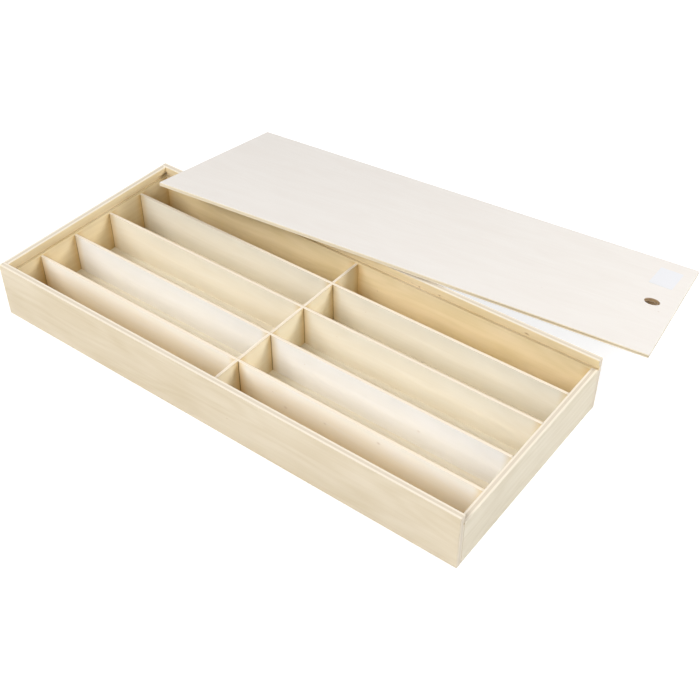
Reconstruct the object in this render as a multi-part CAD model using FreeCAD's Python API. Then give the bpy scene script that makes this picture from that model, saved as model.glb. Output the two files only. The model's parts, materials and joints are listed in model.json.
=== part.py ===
import FreeCAD, Part
import math
import os

# A shallow plywood box with ten compartments and a sliding lid. The lid is off the box: it leans on
# the back wall, with one corner on the table. Millimetres, +Z up. The origin is the middle of the
# box's underside, the front wall is towards -Y, and the lid slides in and out at the +X end.

# Driving dimensions: the box
box_length = 480.0
box_width = 209.0
box_height = 54.0
wall_thickness = 6.0
edge_radius = 0.6            # eased arrises of the walls

# Driving dimensions: the base panel, set into a rebate around the foot of the walls
base_thickness = 3.0
rebate_depth = 3.0

# Driving dimensions: the groove that the lid slides in
lip_height = 5.4             # wood above the groove
groove_depth = 2.0

# Driving dimensions: the dividers
divider_thickness = 2.8
divider_drop = 2.2           # from the groove's floor down to the tops of the dividers
housing_depth = 1.5          # how far the dividers' ends are let into the walls
inner_offset = 21.9          # the two middle long dividers, from the box's centre line
outer_offset = 62.8          # the two outer long dividers, from the box's centre line
cross_offset = 0.0           # the cross divider, from the middle of the box's length
joint_play = 0.1             # on each side of a divider in its housing or notch
end_play = 0.2               # behind each end of a divider

# Driving dimensions: the lid
lid_thickness = 3.5
lid_height_play = 0.8        # above the lid in its groove
lid_side_play = 0.25         # on each side of the lid in its groove
lid_end_play = 0.3           # behind the lid's inner end when it is shut
lid_corner_radius = 1.2
lid_edge_radius = 0.5
hole_diameter = 13.6
hole_from_end = 22.0         # the finger hole's centre, from the lid's outer end
hole_edge = 0.4              # eased rims of the finger hole

# Driving dimensions: how the lid leans on the box
lid_reach = 220.0            # from the back wall to the corner that stands on the table
lid_corner_inset = 5.0       # from the box's +X end back to that corner
lid_turn = 9.1               # degrees, the lid's long side against the back wall
resting_gap = 0.3            # between the leaning lid and what it rests on

# Places that follow from the dimensions above
end_x = box_length / 2
side_y = box_width / 2
inner_x = end_x - wall_thickness
inner_y = side_y - wall_thickness
groove_top = box_height - lip_height
groove_floor = groove_top - lid_thickness - lid_height_play
divider_top = groove_floor - divider_drop
notch_level = (base_thickness + divider_top) / 2
slot_half = divider_thickness / 2 + joint_play
divider_end_x = inner_x + housing_depth - end_play
divider_end_y = inner_y + housing_depth - end_play
divider_rows = (-outer_offset, -inner_offset, inner_offset, outer_offset)
lid_length = end_x + inner_x + groove_depth - lid_end_play
lid_width = 2 * (inner_y + groove_depth - lid_side_play)


def block(x_range, y_range, z_range):
    """A rectangular solid between two limits along each axis."""
    corner = FreeCAD.Vector(x_range[0], y_range[0], z_range[0])
    size = [high - low for low, high in (x_range, y_range, z_range)]
    return Part.makeBox(*size, corner)


def around(centre, half):
    """The limits of a band about a centre."""
    return (centre - half, centre + half)


def ease(board, is_eased, radius):
    """Round the straight edges whose middle point passes the test."""
    edges = [edge for edge in board.Edges if is_eased(edge.CenterOfMass)]
    return board.makeFillet(radius, edges)


def front_wall():
    """A long wall that covers the ends of the short ones, with a groove that runs out at +X."""
    board = block((-end_x, end_x), (-side_y, -inner_y), (0, box_height))
    middle_y = -side_y + wall_thickness / 2
    middle_z = box_height / 2

    def is_eased(point):
        return point.y < middle_y - edge_radius or point.z > box_height - edge_radius or (
            abs(point.x) > inner_x and abs(point.z - middle_z) < edge_radius)

    board = ease(board, is_eased, edge_radius)
    groove = block((-inner_x - groove_depth, end_x), (-inner_y - groove_depth, -inner_y),
                   (groove_floor, groove_top))
    rebate = block(around(0, inner_x + rebate_depth), (-inner_y - rebate_depth, -inner_y),
                   (0, base_thickness))
    housing = block(around(cross_offset, slot_half), (-inner_y - housing_depth, -inner_y),
                    (base_thickness, divider_top))
    return board.cut([groove, rebate, housing])


def short_wall(height):
    """A wall between the long ones at the -X end, with its rebate and the dividers' housings."""
    board = block((-end_x, -inner_x), (-inner_y, inner_y), (0, height))

    def is_eased(point):
        at_top = point.z > height - edge_radius
        at_foot = point.z < edge_radius and point.x < -end_x + edge_radius
        return abs(point.y) < edge_radius and (at_top or at_foot)

    board = ease(board, is_eased, edge_radius)
    rebate = block((-inner_x - rebate_depth, -inner_x), (-inner_y, inner_y), (0, base_thickness))
    housings = [block((-inner_x - housing_depth, -inner_x), around(row, slot_half),
                      (base_thickness, divider_top)) for row in divider_rows]
    return board.cut([rebate] + housings)


def left_wall():
    """The full-height short wall, grooved for the lid's inner end."""
    groove = block((-inner_x - groove_depth, -inner_x), (-inner_y, inner_y), (groove_floor, groove_top))
    return short_wall(box_height).cut(groove)


def right_wall():
    """The low short wall that the lid slides over, level with the groove's floor."""
    return short_wall(groove_floor).mirror(FreeCAD.Vector(0, 0, 0), FreeCAD.Vector(1, 0, 0))


def base_panel():
    """The bottom, flush with the foot of the walls."""
    return block(around(0, inner_x + rebate_depth), around(0, inner_y + rebate_depth), (0, base_thickness))


def long_divider(row):
    """A divider along X, notched from below where the cross divider passes."""
    board = block(around(0, divider_end_x), around(row, divider_thickness / 2), (base_thickness, divider_top))
    notch = block(around(cross_offset, slot_half), around(row, divider_thickness),
                  (base_thickness, notch_level + joint_play))
    return board.cut(notch)


def cross_divider():
    """The divider along Y, notched from above where each long divider passes."""
    board = block(around(cross_offset, divider_thickness / 2), around(0, divider_end_y),
                  (base_thickness, divider_top))
    notches = [block(around(cross_offset, divider_thickness), around(row, slot_half),
                     (notch_level - joint_play, divider_top)) for row in divider_rows]
    return board.cut(notches)


def flat_lid():
    """The lid lying flat: its length from x = 0 to its outer end, its width from y = 0."""
    board = Part.makeBox(lid_length, lid_width, lid_thickness)
    corners = [edge for edge in board.Edges if abs(edge.CenterOfMass.z - lid_thickness / 2) < edge_radius]
    board = board.makeFillet(lid_corner_radius, corners)
    rims = [edge for edge in board.Edges if abs(edge.CenterOfMass.z - lid_thickness / 2) > lid_edge_radius]
    board = board.makeFillet(lid_edge_radius, rims)
    centre = FreeCAD.Vector(lid_length - hole_from_end, lid_width / 2, 0)
    bore = Part.makeCylinder(hole_diameter / 2, lid_thickness, centre)
    flare = hole_diameter / 2 + hole_edge
    lower_rim = Part.makeCone(flare, hole_diameter / 2, hole_edge, centre)
    upper_rim = Part.makeCone(hole_diameter / 2, flare, hole_edge,
                              centre + FreeCAD.Vector(0, 0, lid_thickness - hole_edge))
    return board.cut([bore, lower_rim, upper_rim])


def leaning_place():
    """Where the flat lid goes: its underside just over the back wall's rounded edge, one corner low."""
    rise = box_height - edge_radius
    run = lid_reach + edge_radius
    lean = math.atan2(rise, run) + math.asin((edge_radius + resting_gap) / math.hypot(rise, run))
    low_corner = FreeCAD.Vector(end_x - lid_corner_inset, side_y + lid_reach, 0)
    tilt = FreeCAD.Rotation(FreeCAD.Vector(1, 0, 0), -math.degrees(lean))
    turn = FreeCAD.Rotation(FreeCAD.Vector(0, 0, 1), lid_turn)
    to_corner = FreeCAD.Placement(FreeCAD.Vector(-lid_length, -lid_width, 0), FreeCAD.Rotation())
    return FreeCAD.Placement(low_corner, tilt * turn).multiply(to_corner)


def leaning_lid():
    """The sliding lid, taken off and leant against the back of the box."""
    lid = flat_lid()
    lid.transformShape(leaning_place().toMatrix(), True)
    return lid


def all_pieces():
    """Every piece by its name."""
    front = front_wall()
    pieces = {
        "base_panel": base_panel(),
        "front_wall": front,
        "back_wall": front.mirror(FreeCAD.Vector(0, 0, 0), FreeCAD.Vector(0, 1, 0)),
        "left_wall": left_wall(),
        "right_wall": right_wall(),
        "cross_divider": cross_divider(),
        "sliding_lid": leaning_lid(),
    }
    for number, row in enumerate(divider_rows, start=1):
        pieces[f"long_divider_{number}"] = long_divider(row)
    return pieces


os.makedirs("parts", exist_ok=True)
for name, piece in all_pieces().items():
    piece.exportStep(f"parts/{name}.step")
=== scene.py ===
import json
from math import cos, radians, sin

import bpy
from mathutils import Matrix, Quaternion, Vector


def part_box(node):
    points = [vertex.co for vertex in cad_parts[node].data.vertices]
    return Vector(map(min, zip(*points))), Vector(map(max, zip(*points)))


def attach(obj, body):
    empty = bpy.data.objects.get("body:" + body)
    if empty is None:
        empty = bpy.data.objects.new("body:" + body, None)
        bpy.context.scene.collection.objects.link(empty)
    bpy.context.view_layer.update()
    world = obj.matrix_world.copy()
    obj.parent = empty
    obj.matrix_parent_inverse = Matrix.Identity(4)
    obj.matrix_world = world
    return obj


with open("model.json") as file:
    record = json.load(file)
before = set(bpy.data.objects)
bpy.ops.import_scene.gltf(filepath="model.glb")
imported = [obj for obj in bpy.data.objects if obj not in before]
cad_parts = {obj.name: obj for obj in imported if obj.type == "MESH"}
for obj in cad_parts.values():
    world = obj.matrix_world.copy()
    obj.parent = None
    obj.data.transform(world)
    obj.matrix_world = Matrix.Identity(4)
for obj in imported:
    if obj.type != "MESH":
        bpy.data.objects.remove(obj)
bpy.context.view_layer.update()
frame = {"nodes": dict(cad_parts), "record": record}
nodes = frame["nodes"]
mm = 0.001
white = (1, 1, 1, 1)


def hexToLinear(text):
    channels = [int(text[i:i + 2], 16) / 255 for i in (1, 3, 5)]
    return tuple(c / 12.92 if c <= 0.04045 else ((c + 0.055) / 1.055) ** 2.4 for c in channels) + (1.0,)


def addNode(tree, kind, settings=None, links=None):
    # a link may name a node, which means its first output, or one of its sockets
    node = tree.nodes.new(kind)
    for name, value in (settings or {}).items():
        if isinstance(name, int) or name in node.inputs:
            node.inputs[name].default_value = value
        else:
            setattr(node, name, value)
    for name, source in (links or {}).items():
        socket = source.outputs[0] if isinstance(source, bpy.types.Node) else source
        tree.links.new(socket, node.inputs[name])
    return node


def newMaterial(name):
    material = bpy.data.materials.new(name)
    material.use_nodes = True
    material.node_tree.nodes.clear()
    return material


def addSeenMask(tree):
    # 1 for what the camera sees, also in a mirror or through glass; 0 for light on its way between things
    path = addNode(tree, "ShaderNodeLightPath")
    indirect = addNode(tree, "ShaderNodeMath", {"operation": "MAXIMUM"},
                       {0: path.outputs["Is Glossy Ray"], 1: path.outputs["Is Transmission Ray"]})
    return addNode(tree, "ShaderNodeMath", {"operation": "MAXIMUM"},
                   {0: path.outputs["Is Camera Ray"], 1: indirect})


def mountNamed(name):
    return next(m for m in frame["record"]["mounts"] if m["name"] == name)


# The view: the point on the table that the eye looks at, and where the eye is from there
view = {
    "targetMm": (36.7, 39.5, 0.0),
    "azimuth": 36.806,       # degrees, from the front towards the low end of the box
    "elevation": 41.328,
    "roll": 0.129,
    "distanceMm": 989.9,
    "lensMm": 58.27,
    "sensorMm": 36.0,
    "clipEndM": 50.0,
}


def addCamera():
    turn, lift = radians(view["azimuth"]), radians(view["elevation"])
    outward = Vector((cos(lift) * sin(turn), -cos(lift) * cos(turn), sin(lift)))
    aim = outward.to_track_quat("Z", "Y") @ Quaternion((0, 0, 1), radians(view["roll"]))
    place = (Vector(view["targetMm"]) + outward * view["distanceMm"]) * mm
    bpy.ops.object.camera_add(location=place, rotation=aim.to_euler())
    camera = bpy.context.object
    camera.name = "mainCamera"
    camera.data.sensor_width = view["sensorMm"]
    camera.data.lens = view["lensMm"]
    camera.data.clip_end = view["clipEndM"]
    bpy.context.scene.camera = camera


# Light: soft square lamps around the box. Azimuth is from +X towards +Y, elevation above the table.
light = {
    "distanceM": 2.0,
    "lampSizeM": 1.0,
    "roomStrength": 0.04,        # the light of the room itself
    "backdropStrength": 1.0,     # the white that the camera sees behind everything
    "lamps": {
        "backRight": {"azimuth": 41, "elevation": 38, "watts": 32.4},
        "leftLow": {"azimuth": 168, "elevation": 20, "watts": 8.4},
        "frontLeft": {"azimuth": 225, "elevation": 44, "watts": 17.4},
        "front": {"azimuth": 278, "elevation": 40, "watts": 23.6},
    },
}


def addLight():
    world = bpy.data.worlds.new("whiteRoom")
    bpy.context.scene.world = world
    world.use_nodes = True
    tree = world.node_tree
    tree.nodes.clear()
    room = addNode(tree, "ShaderNodeBackground", {"Color": white, "Strength": light["roomStrength"]})
    backdrop = addNode(tree, "ShaderNodeBackground", {"Color": white, "Strength": light["backdropStrength"]})
    choice = addNode(tree, "ShaderNodeMixShader", None, {0: addSeenMask(tree), 1: room, 2: backdrop})
    addNode(tree, "ShaderNodeOutputWorld", None, {"Surface": choice})
    for name, lamp in light["lamps"].items():
        turn, lift = radians(lamp["azimuth"]), radians(lamp["elevation"])
        outward = Vector((cos(lift) * cos(turn), cos(lift) * sin(turn), sin(lift)))
        bpy.ops.object.light_add(type="AREA", location=outward * light["distanceM"],
                                 rotation=outward.to_track_quat("Z", "Y").to_euler())
        source = bpy.context.object
        source.name = name
        source.data.shape = "SQUARE"
        source.data.size = light["lampSizeM"]
        source.data.energy = lamp["watts"]


# Floor: white paper that runs out of sight, and keeps a faint shadow of the object
floorLook = {
    "sizeM": 12.0,
    "paper": "#f4f4f4",      # what throws light back at the object
    "seenPaper": "#969696",  # what the camera sees instead, so that the shadows stay faint
    "seenGlow": 0.84,        # the glow that lifts it to white, near the object
    "farGlow": 1.0,          # and where the lamps no longer reach
    "nearM": 0.6,            # how far out the first ends and the second is full
    "farM": 1.8,
    "shade": "#f0c896",      # the tone close under a board, where only the wood's light falls
    "coverM": 0.06,          # a board lower than this covers the paper
    "darkSky": 0.16,         # the shares of open sky that leave it shaded, and clear
    "lightSky": 0.30,
    "skySamples": 32,
}


def addFloor():
    # Matte white paper: no sheen and no grain, so that nothing but a soft shadow shows on it
    material = newMaterial("PaperMatteWhite")
    tree = material.node_tree
    paper = addNode(tree, "ShaderNodeBsdfDiffuse", {"Color": hexToLinear(floorLook["paper"])})
    sky = addNode(tree, "ShaderNodeAmbientOcclusion",
                  {"samples": floorLook["skySamples"], "Distance": floorLook["coverM"]})
    clear = addNode(tree, "ShaderNodeMapRange",
                    {"interpolation_type": "SMOOTHSTEP", "From Min": floorLook["darkSky"],
                     "From Max": floorLook["lightSky"]}, {0: sky.outputs["AO"]})
    tone = addNode(tree, "ShaderNodeMix", {"data_type": "RGBA", 6: hexToLinear(floorLook["shade"]),
                                           7: hexToLinear(floorLook["seenPaper"])}, {0: clear})
    seenPaper = addNode(tree, "ShaderNodeBsdfDiffuse", None, {"Color": tone.outputs[2]})
    coords = addNode(tree, "ShaderNodeTexCoord")
    away = addNode(tree, "ShaderNodeVectorMath", {"operation": "LENGTH"}, {0: coords.outputs["Object"]})
    glowThere = addNode(tree, "ShaderNodeMapRange",
                        {"From Min": floorLook["nearM"], "From Max": floorLook["farM"],
                         "To Min": floorLook["seenGlow"], "To Max": floorLook["farGlow"]},
                        {0: away.outputs["Value"]})
    lift = addNode(tree, "ShaderNodeMath", {"operation": "MULTIPLY"}, {0: glowThere, 1: clear})
    glow = addNode(tree, "ShaderNodeEmission", {"Color": white}, {"Strength": lift})
    lifted = addNode(tree, "ShaderNodeAddShader", None, {0: seenPaper, 1: glow})
    choice = addNode(tree, "ShaderNodeMixShader", None, {0: addSeenMask(tree), 1: paper, 2: lifted})
    addNode(tree, "ShaderNodeOutputMaterial", None, {"Surface": choice})
    bpy.ops.mesh.primitive_plane_add(size=floorLook["sizeM"])
    floor = bpy.context.object
    floor.name = "whiteFloor"
    floor.data.materials.append(material)


# Plywood. Each board is solid: its plies run through the thickness, so a cut edge or a groove shows them.
# edge: a face ply where it is cut along the grain; the far face ply, from farMm off the middle, takes a darker tone
# there as painted shade
# core, endGrain: the middle ply, plyMm thick, and a ply where it is cut across; glue: the lines between plies
# low and the corner tone: painted shade, multiplied into the veneer inside the box near the floor and in the
# corners
# the groove tone: painted shade along the floor of the lid's groove; endEdge: the short ends; burnt: the core where
# the saw was slow
plyLooks = {
    "wall": {"edge": "#e4dac9", "core": "#d5cbbb", "endGrain": "#c4b397", "glue": "#c6b89e", "plyMm": 2.0,
             "contrast": 1.3, "low": "#fffaf0", "corner": "#f4e6ca", "groove": "#c8b285"},
    "divider": {"edge": "#ecdfcf", "farEdge": "#b59c72", "farMm": 1.05, "core": "#e9dfcb", "endGrain": "#cdbe9f",
                "glue": "#cfc0a0", "plyMm": 0.9, "contrast": 0.8, "low": "#fffbf3", "corner": "#f1e0bd"},
    "lid": {"edge": "#ebe0cb", "core": "#e4d8bd", "endGrain": "#dcd3bf", "glue": "#d0c19c", "plyMm": 1.2,
            "contrast": 0.5, "endEdge": "#dcdad0", "burnt": "#a68f66", "boreMm": 6.9},
    "base": {"edge": "#e6d8bc", "core": "#e6d8bc", "endGrain": "#c9b18a", "glue": "#c8a878", "plyMm": 1.0,
             "contrast": 0.8},
}
# behind the front wall the least light falls, so the painted shade low down is a deeper yellow
plyLooks["frontDivider"] = {**plyLooks["divider"], "low": "#ffefd3"}

# the veneer's figure: how far each kind of mark reaches along, across and through the board, where its noise
# starts, so that no two kinds follow each other, and its share
figure = {
    "ringMm": (170, 34, 20), "ringCount": 60.0, "ringShare": 0.09,
    "streakMm": (70, 1.8, 1.8), "streakStart": (3.1, 3.1, 3.1), "streakShare": 0.7,
    "cloudMm": (60, 22, 12), "cloudStart": (7.7, 7.7, 7.7), "cloudShare": 1.1,
    "middle": 0.45,          # how far the plain veneer is from the light tone to the dark one
    "roughness": (0.6, 0.75),
    "reliefM": 0.00006,
}

# single marks: flecks, knots, the lid's bore, and seams
marks = {
    "fleckMm": (14, 9, 9), "fleckStart": (1.3, 1.3, 1.3), "fleckTone": "#a8814f", "fleckStrength": 0.3,
    "fleckFree": 0.95,       # the share of places without a fleck
    "knotTone": "#9a7145", "knotSquash": (0.75, 1, 0),
    "boreGrainAndShade": "#8a6c48", "boreStrength": 0.85, "boreSoftMm": 0.3,
    "seamTone": "#80613a",
    "grooveMm": 0.9,         # farther than this from the middle of a wall is in its groove's lip
}

# the cut plies: how softly one tone meets the next, and how strong the glue and the saw's burn are
cut = {
    "farSoftMm": 0.1, "coreSoftMm": 0.08,
    "glueMm": (0.06, 0.22), "glueStrength": 0.4,
    "burnMm": (-210.0, -70.0), "burnStrength": 1.4,
    "poreSize": 1.1,
}

# where the painted shade falls, in the box's own metres: inside the walls and below the rim
paintedShade = {
    "halfLengthM": 0.2355, "halfWidthM": 0.1000, "rimM": 0.0422,
    "lowM": 0.003, "highM": 0.040,       # from all to none of the low tone
    "cornerMm": (-2.0, 10.0),            # from all to none of the corner tone
}


def addVeneer(tree, onBoard, look, face, faceDark):
    # growth lines are level lines of a slow noise, as a rotary cut shows them
    slowPlace = addNode(tree, "ShaderNodeMapping", {"Scale": [1 / reach for reach in figure["ringMm"]]},
                        {"Vector": onBoard})
    slow = addNode(tree, "ShaderNodeTexNoise", {"Scale": 1.0, "Detail": 1.0}, {"Vector": slowPlace})
    phase = addNode(tree, "ShaderNodeMath", {"operation": "MULTIPLY", 1: figure["ringCount"]}, {0: slow})
    rings = addNode(tree, "ShaderNodeMath", {"operation": "SINE"}, {0: phase})
    streakPlace = addNode(tree, "ShaderNodeMapping", {"Location": figure["streakStart"],
                                                      "Scale": [1 / reach for reach in figure["streakMm"]]},
                          {"Vector": onBoard})
    streaks = addNode(tree, "ShaderNodeTexNoise", {"Scale": 1.0, "Detail": 3.0, "Roughness": 0.6},
                      {"Vector": streakPlace})
    cloudPlace = addNode(tree, "ShaderNodeMapping", {"Location": figure["cloudStart"],
                                                     "Scale": [1 / reach for reach in figure["cloudMm"]]},
                         {"Vector": onBoard})
    clouds = addNode(tree, "ShaderNodeTexNoise", {"Scale": 1.0, "Detail": 2.0}, {"Vector": cloudPlace})
    ringShare, streakShare, cloudShare = [figure[kind + "Share"] * look["contrast"]
                                          for kind in ("ring", "streak", "cloud")]
    ringPart = addNode(tree, "ShaderNodeMath", {"operation": "MULTIPLY_ADD", 1: ringShare,
                                                2: figure["middle"]}, {0: rings})
    streakPart = addNode(tree, "ShaderNodeMath", {"operation": "MULTIPLY_ADD", 1: streakShare,
                                                  2: -streakShare / 2}, {0: streaks})
    cloudPart = addNode(tree, "ShaderNodeMath", {"operation": "MULTIPLY_ADD", 1: cloudShare,
                                                 2: -cloudShare / 2}, {0: clouds})
    twoParts = addNode(tree, "ShaderNodeMath", {"operation": "ADD"}, {0: ringPart, 1: streakPart})
    allParts = addNode(tree, "ShaderNodeMath", {"operation": "ADD", "use_clamp": True}, {0: twoParts, 1: cloudPart})
    veneer = addNode(tree, "ShaderNodeMix", {"data_type": "RGBA", 6: hexToLinear(face), 7: hexToLinear(faceDark)},
                     {0: allParts})
    return veneer.outputs[2], streaks, clouds


def addPaintedShade(tree, coords, place, colour, look, shadeCorners):
    # painted shade inside the box: the veneer multiplied by a deeper yellow low down and by brown in the corners
    inBox = addNode(tree, "ShaderNodeSeparateXYZ", None, {0: coords.outputs["Object"]})
    fromMiddleX = addNode(tree, "ShaderNodeMath", {"operation": "ABSOLUTE"}, {0: inBox.outputs["X"]})
    fromMiddleY = addNode(tree, "ShaderNodeMath", {"operation": "ABSOLUTE"}, {0: inBox.outputs["Y"]})
    insideX = addNode(tree, "ShaderNodeMath", {"operation": "LESS_THAN", 1: paintedShade["halfLengthM"]},
                      {0: fromMiddleX})
    insideY = addNode(tree, "ShaderNodeMath", {"operation": "LESS_THAN", 1: paintedShade["halfWidthM"]},
                      {0: fromMiddleY})
    belowRim = addNode(tree, "ShaderNodeMath", {"operation": "LESS_THAN", 1: paintedShade["rimM"]},
                       {0: inBox.outputs["Z"]})
    insideXY = addNode(tree, "ShaderNodeMath", {"operation": "MULTIPLY"}, {0: insideX, 1: insideY})
    inside = addNode(tree, "ShaderNodeMath", {"operation": "MULTIPLY"}, {0: insideXY, 1: belowRim})
    low = addNode(tree, "ShaderNodeMapRange", {"From Min": paintedShade["lowM"], "From Max": paintedShade["highM"],
                                               "To Min": 1.0, "To Max": 0.0}, {0: inBox.outputs["Z"]})
    lowInside = addNode(tree, "ShaderNodeMath", {"operation": "MULTIPLY"}, {0: low, 1: inside})
    lowShaded = addNode(tree, "ShaderNodeMix", {"data_type": "RGBA", "blend_type": "MULTIPLY",
                                               7: hexToLinear(look["low"])}, {0: lowInside, 6: colour})
    nearest = None
    for placeMm in shadeCorners:
        offCorner = addNode(tree, "ShaderNodeMath", {"operation": "SUBTRACT", 1: placeMm}, {0: place.outputs["X"]})
        toCorner = addNode(tree, "ShaderNodeMath", {"operation": "ABSOLUTE"}, {0: offCorner})
        if nearest:
            nearest = addNode(tree, "ShaderNodeMath", {"operation": "MINIMUM"}, {0: nearest, 1: toCorner})
        else:
            nearest = toCorner
    allMm, noneMm = paintedShade["cornerMm"]
    corner = addNode(tree, "ShaderNodeMapRange", {"interpolation_type": "SMOOTHSTEP", "From Min": allMm,
                                                  "From Max": noneMm, "To Min": 1.0, "To Max": 0.0}, {0: nearest})
    cornerInside = addNode(tree, "ShaderNodeMath", {"operation": "MULTIPLY"}, {0: corner, 1: inside})
    cornerShaded = addNode(tree, "ShaderNodeMix", {"data_type": "RGBA", "blend_type": "MULTIPLY",
                                              7: hexToLinear(look["corner"])},
                      {0: cornerInside, 6: lowShaded.outputs[2]})
    return cornerShaded.outputs[2]


def addPlies(tree, onBoard, place, normal, clouds, colour, look):
    # sawn edges: duller than the sanded face
    along = addNode(tree, "ShaderNodeMath", {"operation": "ABSOLUTE"}, {0: normal.outputs["X"]})
    across = addNode(tree, "ShaderNodeMath", {"operation": "ABSOLUTE"}, {0: normal.outputs["Y"]})
    sideways = addNode(tree, "ShaderNodeMath", {"operation": "MAXIMUM"}, {0: along, 1: across})
    onEdge = addNode(tree, "ShaderNodeMapRange", {"interpolation_type": "SMOOTHSTEP", "From Min": 0.45,
                                                  "From Max": 0.9}, {0: sideways})
    # on a divider the far face ply's cut edge is darker: painted shade
    farMm = look.get("farMm", 0.0)
    shadedFarPly = addNode(tree, "ShaderNodeMapRange",
                     {"interpolation_type": "SMOOTHSTEP", "From Min": farMm - cut["farSoftMm"],
                      "From Max": farMm + cut["farSoftMm"]}, {0: place.outputs["Z"]})
    edgeTone = addNode(tree, "ShaderNodeMix", {"data_type": "RGBA", 6: hexToLinear(look["edge"]),
                                               7: hexToLinear(look.get("farEdge", look["edge"]))}, {0: shadedFarPly})
    if "endEdge" in look:
        edgeTone = addNode(tree, "ShaderNodeMix", {"data_type": "RGBA", 7: hexToLinear(look["endEdge"])},
                           {0: along, 6: edgeTone.outputs[2]})
    withEdge = addNode(tree, "ShaderNodeMix", {"data_type": "RGBA"}, {0: onEdge, 6: colour, 7: edgeTone.outputs[2]})

    # the middle ply runs the other way, so on a long edge it is end grain and darker
    depth = addNode(tree, "ShaderNodeMath", {"operation": "ABSOLUTE"}, {0: place.outputs["Z"]})
    half = look["plyMm"] / 2
    core = addNode(tree, "ShaderNodeMapRange",
                   {"interpolation_type": "SMOOTHSTEP", "From Min": half - cut["coreSoftMm"],
                    "From Max": half + cut["coreSoftMm"], "To Min": 1.0, "To Max": 0.0}, {0: depth})
    coreOnEdge = addNode(tree, "ShaderNodeMath", {"operation": "MULTIPLY"}, {0: core, 1: onEdge})
    withCore = addNode(tree, "ShaderNodeMix", {"data_type": "RGBA", 7: hexToLinear(look["core"])},
                       {0: coreOnEdge, 6: withEdge.outputs[2]})
    if "burnt" in look:
        # a slow saw has browned the middle ply towards one end of the board
        freeMm, burntMm = cut["burnMm"]
        slowSaw = addNode(tree, "ShaderNodeMapRange", {"interpolation_type": "SMOOTHSTEP", "From Min": freeMm,
                                                       "From Max": burntMm, "To Min": 0.0,
                                                       "To Max": cut["burnStrength"]}, {0: place.outputs["X"]})
        uneven = addNode(tree, "ShaderNodeMath", {"operation": "MULTIPLY", "use_clamp": True},
                         {0: slowSaw, 1: clouds})
        scorch = addNode(tree, "ShaderNodeMath", {"operation": "MULTIPLY"}, {0: uneven, 1: coreOnEdge})
        withCore = addNode(tree, "ShaderNodeMix", {"data_type": "RGBA", 7: hexToLinear(look["burnt"])},
                           {0: scorch, 6: withCore.outputs[2]})

    # end grain in patches: the outer plies on the short ends, the middle one on the long edges
    outer = addNode(tree, "ShaderNodeMath", {"operation": "SUBTRACT", 0: 1.0}, {1: core})
    outerEnds = addNode(tree, "ShaderNodeMath", {"operation": "MULTIPLY"}, {0: along, 1: outer})
    ends = addNode(tree, "ShaderNodeMath", {"operation": "MULTIPLY_ADD"}, {0: across, 1: core, 2: outerEnds})
    endsOnly = addNode(tree, "ShaderNodeMapRange", {"interpolation_type": "SMOOTHSTEP", "From Min": 0.5,
                                                    "From Max": 0.95}, {0: ends})
    pores = addNode(tree, "ShaderNodeTexNoise", {"Scale": cut["poreSize"], "Detail": 2.0}, {"Vector": onBoard})
    patches = addNode(tree, "ShaderNodeMath", {"operation": "MULTIPLY"}, {0: pores, 1: clouds})
    endShade = addNode(tree, "ShaderNodeMath", {"operation": "MULTIPLY"}, {0: endsOnly, 1: patches})
    withEnds = addNode(tree, "ShaderNodeMix", {"data_type": "RGBA", 7: hexToLinear(look["endGrain"])},
                       {0: endShade, 6: withCore.outputs[2]})

    # glue lines on both sides of the middle ply
    fromGlue = addNode(tree, "ShaderNodeMath", {"operation": "SUBTRACT", 1: half}, {0: depth})
    glueGap = addNode(tree, "ShaderNodeMath", {"operation": "ABSOLUTE"}, {0: fromGlue})
    glueMm, woodMm = cut["glueMm"]
    glue = addNode(tree, "ShaderNodeMapRange", {"interpolation_type": "SMOOTHSTEP", "From Min": glueMm,
                                                "From Max": woodMm, "To Min": cut["glueStrength"],
                                                "To Max": 0.0}, {0: glueGap})
    glueOnEdge = addNode(tree, "ShaderNodeMath", {"operation": "MULTIPLY"}, {0: glue, 1: onEdge})
    withGlue = addNode(tree, "ShaderNodeMix", {"data_type": "RGBA", 7: hexToLinear(look["glue"])},
                       {0: glueOnEdge, 6: withEnds.outputs[2]})
    return withGlue.outputs[2], onEdge


def addFlecks(tree, onBoard, colour):
    # small brown flecks, sparse and lying along the grain
    fleckPlace = addNode(tree, "ShaderNodeMapping", {"Location": marks["fleckStart"],
                                                     "Scale": [1 / reach for reach in marks["fleckMm"]]},
                         {"Vector": onBoard})
    cells = addNode(tree, "ShaderNodeTexVoronoi", {"Scale": 1.0, "Randomness": 1.0}, {"Vector": fleckPlace})
    chance = addNode(tree, "ShaderNodeSeparateColor", None, {0: cells.outputs["Color"]})
    chosen = addNode(tree, "ShaderNodeMath", {"operation": "GREATER_THAN", 1: marks["fleckFree"]}, {0: chance})
    fleck = addNode(tree, "ShaderNodeMapRange", {"interpolation_type": "SMOOTHSTEP", "From Min": 0.03,
                                                 "From Max": 0.09, "To Min": marks["fleckStrength"],
                                                 "To Max": 0.0}, {0: cells.outputs["Distance"]})
    spot = addNode(tree, "ShaderNodeMath", {"operation": "MULTIPLY"}, {0: fleck, 1: chosen})
    withFlecks = addNode(tree, "ShaderNodeMix", {"data_type": "RGBA", 7: hexToLinear(marks["fleckTone"])},
                         {0: spot, 6: colour})
    return withFlecks.outputs[2]


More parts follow.
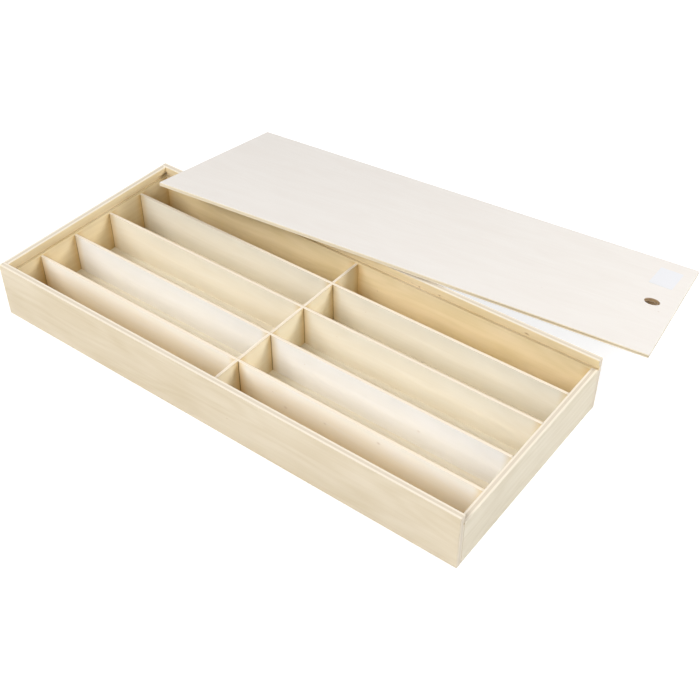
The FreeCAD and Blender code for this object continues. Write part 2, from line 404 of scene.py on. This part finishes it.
def addKnots(tree, onBoard, colour, knots):
    # pin knots: soft brown spots, a little longer along the grain
    for alongMm, acrossMm, knotMm, strength in knots:
        fromKnot = addNode(tree, "ShaderNodeVectorMath", {"operation": "SUBTRACT", 1: (alongMm, acrossMm, 0)},
                           {0: onBoard})
        flatKnot = addNode(tree, "ShaderNodeVectorMath", {"operation": "MULTIPLY", 1: marks["knotSquash"]},
                           {0: fromKnot})
        knotGap = addNode(tree, "ShaderNodeVectorMath", {"operation": "LENGTH"}, {0: flatKnot})
        knot = addNode(tree, "ShaderNodeMapRange", {"interpolation_type": "SMOOTHSTEP", "From Min": 0.0,
                                                    "From Max": knotMm, "To Min": strength, "To Max": 0.0},
                       {0: knotGap.outputs["Value"]})
        withKnot = addNode(tree, "ShaderNodeMix", {"data_type": "RGBA", 7: hexToLinear(marks["knotTone"])},
                           {0: knot, 6: colour})
        colour = withKnot.outputs[2]
    return colour


def addBore(tree, onBoard, colour, boreMm):
    # a bored hole in the middle of the board's own frame: rough end grain, made darker still as painted shade
    # inside the hole
    fromAxis = addNode(tree, "ShaderNodeVectorMath", {"operation": "MULTIPLY", 1: (1, 1, 0)}, {0: onBoard})
    radius = addNode(tree, "ShaderNodeVectorMath", {"operation": "LENGTH"}, {0: fromAxis})
    inBore = addNode(tree, "ShaderNodeMapRange", {"interpolation_type": "SMOOTHSTEP", "From Min": boreMm,
                                                  "From Max": boreMm + marks["boreSoftMm"],
                                                  "To Min": marks["boreStrength"],
                                                  "To Max": 0.0}, {0: radius.outputs["Value"]})
    withBore = addNode(tree, "ShaderNodeMix", {"data_type": "RGBA", 7: hexToLinear(marks["boreGrainAndShade"])},
                       {0: inBore, 6: colour})
    return withBore.outputs[2]


def addSeams(tree, place, onEdge, clouds, colour, look, seams):
    # slightly broken dark lines where another board meets this one, and painted shade along the floor of the lid's
    # groove
    broken = addNode(tree, "ShaderNodeMapRange", {"From Min": 0.3, "From Max": 0.6, "To Min": 0.55}, {0: clouds})
    onFace = addNode(tree, "ShaderNodeMath", {"operation": "LESS_THAN", 1: 0.5}, {0: onEdge})
    for axis, places, lineMm, strength, side in seams:
        sideDepth = addNode(tree, "ShaderNodeMath", {"operation": "MULTIPLY", 1: side}, {0: place.outputs["Z"]})
        inGroove = addNode(tree, "ShaderNodeMath", {"operation": "GREATER_THAN", 1: marks["grooveMm"]},
                           {0: sideDepth})
        for placeMm in places:
            off = addNode(tree, "ShaderNodeMath", {"operation": "SUBTRACT", 1: placeMm}, {0: place.outputs[axis]})
            gap = addNode(tree, "ShaderNodeMath", {"operation": "ABSOLUTE"}, {0: off})
            line = addNode(tree, "ShaderNodeMapRange",
                           {"interpolation_type": "SMOOTHSTEP", "From Min": lineMm * 0.5, "From Max": lineMm,
                            "To Min": strength, "To Max": 0.0}, {0: gap})
            uneven = addNode(tree, "ShaderNodeMath", {"operation": "MULTIPLY"}, {0: line, 1: broken})
            shown = addNode(tree, "ShaderNodeMath", {"operation": "MULTIPLY"},
                            {0: uneven, 1: inGroove if side else onFace})
            withSeam = addNode(tree, "ShaderNodeMix",
                               {"data_type": "RGBA", 7: hexToLinear(look["groove"] if side else marks["seamTone"])},
                               {0: shown, 6: colour})
            colour = withSeam.outputs[2]
    return colour


def plywood(name, look, face, faceDark, toBoard, seams, shadeCorners, knots):
    # Sanded rotary-cut plywood: pale and matt, with soft wandering growth lines, short fibre streaks and flecks
    material = newMaterial(name)
    tree = material.node_tree
    coords = addNode(tree, "ShaderNodeTexCoord")
    turn = toBoard.to_3x3().to_euler()
    # millimetres on the board: x along the face's fibres, y across them, z through the thickness
    onBoard = addNode(tree, "ShaderNodeMapping",
                      {"Location": toBoard.translation / mm, "Rotation": turn, "Scale": (1 / mm, 1 / mm, 1 / mm)},
                      {"Vector": coords.outputs["Object"]})
    facing = addNode(tree, "ShaderNodeMapping", {"vector_type": "VECTOR", "Rotation": turn},
                     {"Vector": coords.outputs["Normal"]})
    place = addNode(tree, "ShaderNodeSeparateXYZ", None, {0: onBoard})
    normal = addNode(tree, "ShaderNodeSeparateXYZ", None, {0: facing})

    colour, streaks, clouds = addVeneer(tree, onBoard, look, face, faceDark)
    # painted shade low down and in the corners inside the box
    if shadeCorners:
        colour = addPaintedShade(tree, coords, place, colour, look, shadeCorners)
    colour, onEdge = addPlies(tree, onBoard, place, normal, clouds, colour, look)
    colour = addFlecks(tree, onBoard, colour)
    colour = addKnots(tree, onBoard, colour, knots)
    if "boreMm" in look:
        colour = addBore(tree, onBoard, colour, look["boreMm"])
    if seams:
        colour = addSeams(tree, place, onEdge, clouds, colour, look, seams)

    smooth, rough = figure["roughness"]
    roughness = addNode(tree, "ShaderNodeMapRange", {"From Min": 0.2, "From Max": 0.8, "To Min": smooth,
                                                     "To Max": rough}, {0: streaks})
    relief = addNode(tree, "ShaderNodeBump", {"Strength": 0.2, "Distance": figure["reliefM"]}, {"Height": streaks})
    shader = addNode(tree, "ShaderNodeBsdfPrincipled", {"IOR": 1.48, "Specular IOR Level": 0.2},
                     {"Base Color": colour, "Roughness": roughness, "Normal": relief})
    addNode(tree, "ShaderNodeOutputMaterial", None, {"Surface": shader})
    return material


def boardPlace(along, across, through, centre):
    # from the box's frame to the board's own axes and centre
    turn = Matrix((along, across, through))
    return Matrix.Translation(-(turn @ centre)) @ turn.to_4x4()


def boxMiddle(name):
    low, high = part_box(name)
    return (low + high) / 2


xAxis, yAxis, zAxis = Vector((1, 0, 0)), Vector((0, 1, 0)), Vector((0, 0, 1))
lidTurn = 9.1                # degrees on the lid's own slope, its long side against the back wall
hole = mountNamed("finger_hole")
holeCentre = Vector(hole["pos_m"])
lidUp = Vector(hole["axis"]).normalized()
lidSlope = lidUp.cross(xAxis)
lidAlong = xAxis * cos(radians(lidTurn)) + lidSlope * sin(radians(lidTurn))
lidAcross = lidUp.cross(lidAlong)

# each board: its kind of plywood, the tones of its face, and its axes along, across and through
boards = {
    "front_wall": ("wall", "#d9cdb7", "#ccbda1", xAxis, -zAxis, yAxis),
    "back_wall": ("wall", "#eddab6", "#dfcc9f", xAxis, -zAxis, yAxis),
    "left_wall": ("wall", "#eddcb7", "#e0cba2", yAxis, zAxis, xAxis),
    "right_wall": ("wall", "#e3dbc9", "#d5cbb5", yAxis, zAxis, xAxis),
    "base_panel": ("base", "#f5efdc", "#efe2ca", xAxis, yAxis, zAxis),
    "cross_divider": ("divider", "#f5edd4", "#f1e1c1", yAxis, zAxis, xAxis),
    "long_divider_1": ("frontDivider", "#f9f8f7", "#f9f3e4", xAxis, -zAxis, yAxis),
    "long_divider_2": ("divider", "#ececee", "#e6e5e2", xAxis, -zAxis, yAxis),
    "long_divider_3": ("divider", "#ede7d9", "#e5dbc6", xAxis, -zAxis, yAxis),
    "long_divider_4": ("divider", "#eae6db", "#e0d9ca", xAxis, -zAxis, yAxis),
    "sliding_lid": ("lid", "#e8e4df", "#dfd8d1", lidAlong, lidAcross, lidUp),
}

# where boards meet, in board mm. A divider's face is half its thickness and a small gap from its middle.
wallLow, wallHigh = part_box("back_wall")
arris = (wallHigh.z - wallLow.z) / 2 / mm - (wallHigh.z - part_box("right_wall")[1].z) / mm - 0.1
dividerFace = 1.45
insideLength, insideWidth = 234.0, 98.5      # from the middle of the box to the walls' inner faces
rows = [boxMiddle(f"long_divider_{n}").y / mm for n in (1, 2, 3, 4)]
rowFaces = [row + side for row in rows for side in (-dividerFace, dividerFace)]
longCorners = [-insideLength, -dividerFace, dividerFace, insideLength]
shortCorners = [-insideWidth, *rowFaces, insideWidth]
# the places near which the veneer takes painted shade in the corners
shadeCorners = {
    "front_wall": longCorners, "back_wall": longCorners, "left_wall": shortCorners, "right_wall": shortCorners,
    "cross_divider": shortCorners, "long_divider_1": longCorners, "long_divider_2": longCorners,
    "long_divider_3": longCorners, "long_divider_4": longCorners,
}

# seams by board: axis, places in board mm, half width of the line in mm, strength,
# and which face has it (1 or -1 along the thickness, in its groove, or 0 for both faces)
longSeams = [("X", (-dividerFace, dividerFace), 0.7, 0.8, 0), ("X", (-insideLength, insideLength), 0.8, 0.8, 0)]
seams = {
    # on the walls the line is painted shade in the lid's groove
    "front_wall": [("Y", [-arris], 0.45, 0.9, 1)],
    "back_wall": [("Y", [-arris], 0.45, 0.9, -1)],
    "left_wall": [("Y", [arris], 0.5, 0.9, 1)],
    "cross_divider": [("X", rowFaces, 0.6, 0.7, 0)],
    "long_divider_1": longSeams,
    "long_divider_2": longSeams,
    "long_divider_3": longSeams,
    "long_divider_4": longSeams,
}

# pin knots by board: along and across it in board mm, their radius, and how dark
knots = {
    "long_divider_1": [(49.8, 4.3, 2.2, 0.2), (89.8, -1.5, 1.6, 0.2), (141.4, -11.4, 2.0, 0.25)],
    "long_divider_2": [(150.9, 3.0, 1.8, 0.2)],
    "back_wall": [(173.8, -21.1, 2.6, 0.95), (58.5, -20.4, 1.8, 0.65), (87.0, -19.4, 1.4, 0.65),
                  (66.0, -18.6, 1.2, 0.65)],
}


def dressBoards():
    for name, (kind, face, faceDark, along, across, through) in boards.items():
        centre = holeCentre if name == "sliding_lid" else boxMiddle(name)
        toBoard = boardPlace(along, across, through, centre)
        material = plywood("PlywoodSanded_" + name, plyLooks[kind], face, faceDark, toBoard,
                           seams.get(name, []), shadeCorners.get(name, []), knots.get(name, []))
        mesh = nodes[name].data
        mesh.materials.clear()
        mesh.materials.append(material)


# Label: a blank paper sticker on the lid
label = {
    "lengthMm": 42.0, "widthMm": 22.0, "thicknessMm": 0.12, "cornerMm": 1.2, "cornerSegments": 5,
    "fromHoleMm": (-0.5, 58.7),      # its centre from the finger hole's, along and across the lid
    "abovePlyMm": 3.5 / 2 + 0.03,    # half the lid's thickness and a hair of glue
    "skew": -3.0,
    "paper": "#e1e1e4", "fibre": "#dadadd", "fibresPerM": 900.0,
}


def paperMaterial():
    # Coated label paper: white and smooth, a little sheen, faint fibre
    material = newMaterial("PaperCoatedWhite")
    tree = material.node_tree
    coords = addNode(tree, "ShaderNodeTexCoord")
    fibres = addNode(tree, "ShaderNodeTexNoise", {"Scale": label["fibresPerM"], "Detail": 3.0},
                     {"Vector": coords.outputs["Object"]})
    tone = addNode(tree, "ShaderNodeMix", {"data_type": "RGBA", 6: hexToLinear(label["paper"]),
                                           7: hexToLinear(label["fibre"])}, {0: fibres})
    relief = addNode(tree, "ShaderNodeBump", {"Strength": 0.15, "Distance": 0.00003}, {"Height": fibres})
    shader = addNode(tree, "ShaderNodeBsdfPrincipled", {"Roughness": 0.42, "IOR": 1.5},
                     {"Base Color": tone.outputs[2], "Normal": relief})
    addNode(tree, "ShaderNodeOutputMaterial", None, {"Surface": shader})
    return material


def addLabel():
    bpy.ops.object.select_all(action="DESELECT")
    bpy.ops.mesh.primitive_plane_add(size=1)
    piece = bpy.context.object
    piece.name = "paper_label"
    bpy.ops.object.mode_set(mode="EDIT")
    bpy.ops.mesh.select_all(action="SELECT")
    bpy.ops.transform.resize(value=(label["widthMm"] * mm, label["lengthMm"] * mm, 1))
    bpy.ops.mesh.bevel(offset=label["cornerMm"] * mm, segments=label["cornerSegments"], affect="VERTICES")
    bpy.ops.mesh.select_all(action="SELECT")
    bpy.ops.mesh.extrude_region_move(TRANSFORM_OT_translate={"value": (0, 0, label["thicknessMm"] * mm)})
    bpy.ops.mesh.select_all(action="SELECT")
    bpy.ops.mesh.normals_make_consistent(inside=False)
    bpy.ops.object.mode_set(mode="OBJECT")
    alongMm, acrossMm = label["fromHoleMm"]
    place = holeCentre + (lidAlong * alongMm + lidAcross * acrossMm + lidUp * label["abovePlyMm"]) * mm
    turn = Matrix((lidAlong, lidAcross, lidUp)).transposed().to_4x4()
    piece.matrix_world = Matrix.Translation(place) @ turn @ Matrix.Rotation(radians(label["skew"]), 4, "Z")
    bpy.ops.object.transform_apply(location=True, rotation=True, scale=True)
    piece.data.materials.append(paperMaterial())
    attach(piece, "lid")


bpy.context.scene.view_settings.view_transform = "Standard"
addCamera()
print("camera placed")
addLight()
addFloor()
print("light and floor placed")
dressBoards()
print("boards dressed:", len(boards))
addLabel()
print("label placed")
